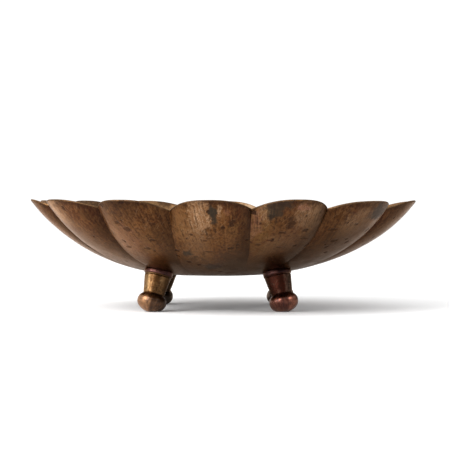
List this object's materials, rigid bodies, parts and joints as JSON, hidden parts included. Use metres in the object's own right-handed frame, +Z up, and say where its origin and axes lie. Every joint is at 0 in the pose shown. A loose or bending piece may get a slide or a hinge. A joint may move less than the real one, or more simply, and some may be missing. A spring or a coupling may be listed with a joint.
{
  "type": "footed petal bowl",
  "caption": "Shallow petal-lobed brass bowl on splayed, turned ball feet, screwed on from inside; holds water and flowers, fruit or sweets.",
  "frame": {"origin": "on the ground, under the centre of the rim", "axes": "+Z up; -Y is the front, towards the petal that is nearest the viewer; +X to the right between the two right feet"},
  "size_m": [0.2577, 0.2597, 0.0728],
  "materials": {
    "dish_brass": "aged brown patina over hammered and burnished sheet, satin, pitted and scratched",
    "collar_brass": "dark brown-purple tarnish, satin",
    "stem_brass": "turned, olive-gold, worn",
    "foot_copper_brass": "turned red brass, copper-coloured, worn shiny on the sides",
    "screw_brass": "turned, tarnished, bright on the edges of the slot",
    "washer_brass": "plain, tarnished",
    "seal_leather": "waxed brown leather"
  },
  "bodies": {
    "root": {"bowl_shell": "dish_brass", "front_right_ball_foot": "foot_copper_brass", "front_right_stem": "stem_brass", "front_right_collar": "collar_brass", "front_right_seal": "seal_leather", "front_right_washer": "washer_brass", "front_right_screw": "screw_brass", "back_right_ball_foot": "foot_copper_brass", "back_right_stem": "stem_brass", "back_right_collar": "collar_brass", "back_right_seal": "seal_leather", "back_right_washer": "washer_brass", "back_right_screw": "screw_brass", "back_left_ball_foot": "foot_copper_brass", "back_left_stem": "stem_brass", "back_left_collar": "collar_brass", "back_left_seal": "seal_leather", "back_left_washer": "washer_brass", "back_left_screw": "screw_brass", "front_left_ball_foot": "foot_copper_brass", "front_left_stem": "stem_brass", "front_left_collar": "collar_brass", "front_left_seal": "seal_leather", "front_left_washer": "washer_brass", "front_left_screw": "screw_brass"}
  },
  "joints": []
}
